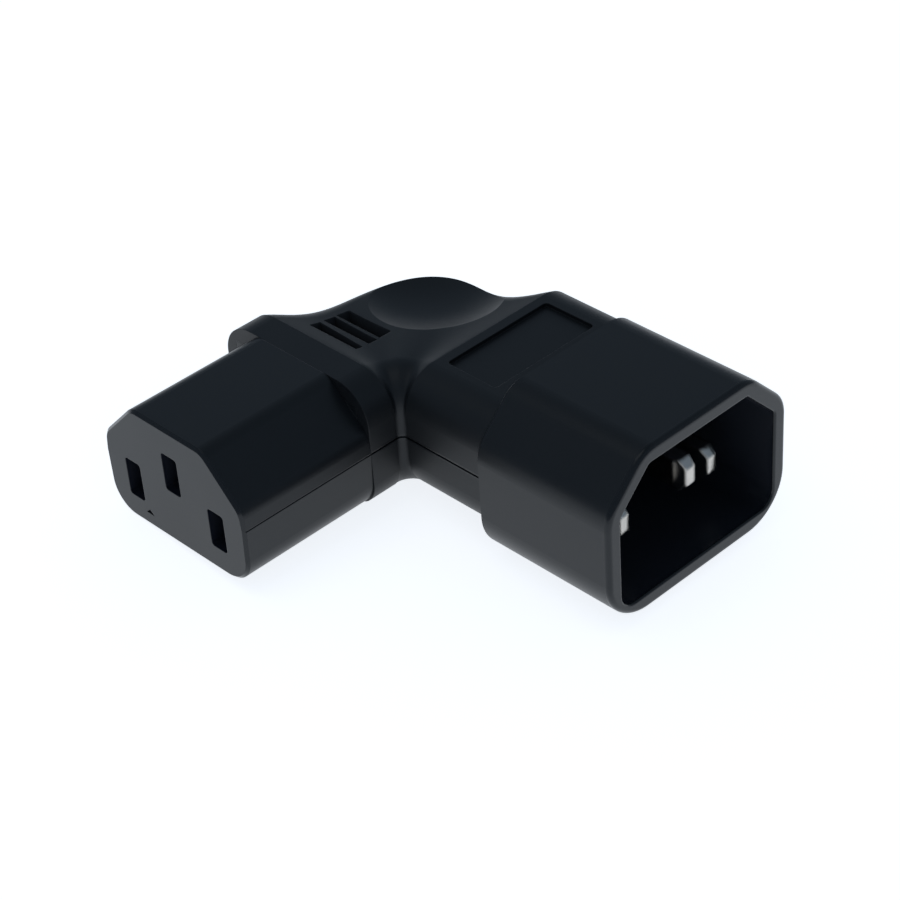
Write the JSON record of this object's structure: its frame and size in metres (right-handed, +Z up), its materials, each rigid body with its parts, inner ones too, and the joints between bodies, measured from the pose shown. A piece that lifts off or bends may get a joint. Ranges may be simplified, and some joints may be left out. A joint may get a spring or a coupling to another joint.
{
  "type": "angled plug adapter",
  "caption": "Right-angle mains adapter joining a shrouded blade inlet to a slotted outlet nose through a moulded elbow with a thumb dish and grip grooves.",
  "frame": {"origin": "middle of the outline seen from above, on the plane of the shroud's underside", "axes": "+X out of the inlet's mouth, -Y out of the outlet's face, +Z up towards the earth pole"},
  "size_m": [0.055, 0.0504, 0.0206],
  "materials": {
    "shell": "satin black rigid plastic",
    "overmould": "satin black soft moulding",
    "blade": "nickel-plated brass",
    "conductor": "bare brass strip"
  },
  "bodies": {
    "root": {"inlet_shroud": "shell", "outlet_nose": "shell", "outlet_cap": "shell", "elbow": "overmould", "live_pin": "blade", "earth_pin": "blade", "neutral_pin": "blade", "live_contact": "conductor", "earth_contact": "conductor", "neutral_contact": "conductor", "live_link": "conductor", "earth_link": "conductor", "neutral_link": "conductor"}
  },
  "joints": []
}
